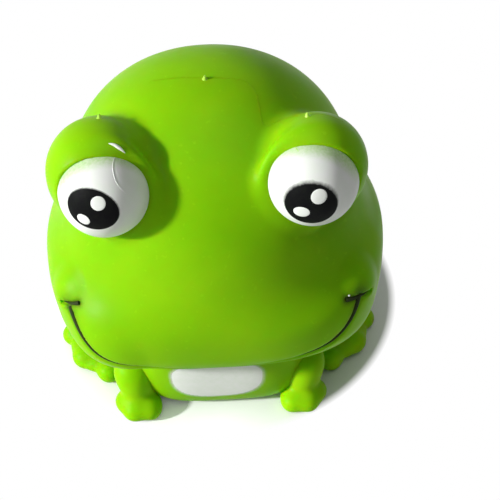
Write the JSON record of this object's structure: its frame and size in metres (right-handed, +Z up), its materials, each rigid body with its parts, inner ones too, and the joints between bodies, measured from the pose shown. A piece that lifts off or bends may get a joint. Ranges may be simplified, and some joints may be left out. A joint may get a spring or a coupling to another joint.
{
  "type": "squishy frog toy",
  "caption": "Soft sitting frog with a very large head, bulging eyes that pop out when the head is pressed, a wide smile, a white belly patch and stubby feet.",
  "frame": {"origin": "middle of the flat base that the frog sits on", "axes": "+Z up from the floor, -Y the way the frog faces, +X the frog's own left"},
  "size_m": [0.0722, 0.063, 0.0731],
  "materials": {
    "green_rubber": "gloss",
    "white_painted_rubber": "satin",
    "white_paint": "satin",
    "black_paint": "satin",
    "grey_paint": "matte",
    "soft_filling": "matte"
  },
  "bodies": {
    "base": {"torso_skin": "green_rubber", "torso_filling": "soft_filling", "base_plug": "green_rubber", "belly_patch": "white_paint", "left_front_leg": "green_rubber", "right_front_leg": "green_rubber", "left_hind_leg": "green_rubber", "right_hind_leg": "green_rubber"},
    "head": {"head_skin": "green_rubber", "head_filling": "soft_filling", "mouth_line": "grey_paint"},
    "left_eye": {"left_eye_bulb": "white_painted_rubber", "left_pupil": "black_paint", "left_big_glint": "white_paint", "left_small_glint": "white_paint"},
    "right_eye": {"right_eye_bulb": "white_painted_rubber", "right_pupil": "black_paint", "right_big_glint": "white_paint", "right_small_glint": "white_paint"}
  },
  "joints": [
    {"name": "squeeze", "type": "slide", "parent": "base", "child": "head", "axis": [0, 0, -1], "range_m": [0, 0.004], "stiffness_N_per_m": 800, "springref_m": -0.0025, "deforming": ["torso_skin", "torso_filling", "belly_patch"]},
    {"name": "left_eye_pop", "type": "slide", "parent": "head", "child": "left_eye", "axis": [0.1977, -0.9303, 0.309], "range_m": [0, 0.0045]},
    {"name": "right_eye_pop", "type": "slide", "parent": "head", "child": "right_eye", "axis": [-0.1977, -0.9303, 0.309], "range_m": [0, 0.0045]}
  ],
  "couplings": [
    {"joint": "left_eye_pop", "follows": "squeeze", "ratio": 1.125},
    {"joint": "right_eye_pop", "follows": "squeeze", "ratio": 1.125}
  ]
}
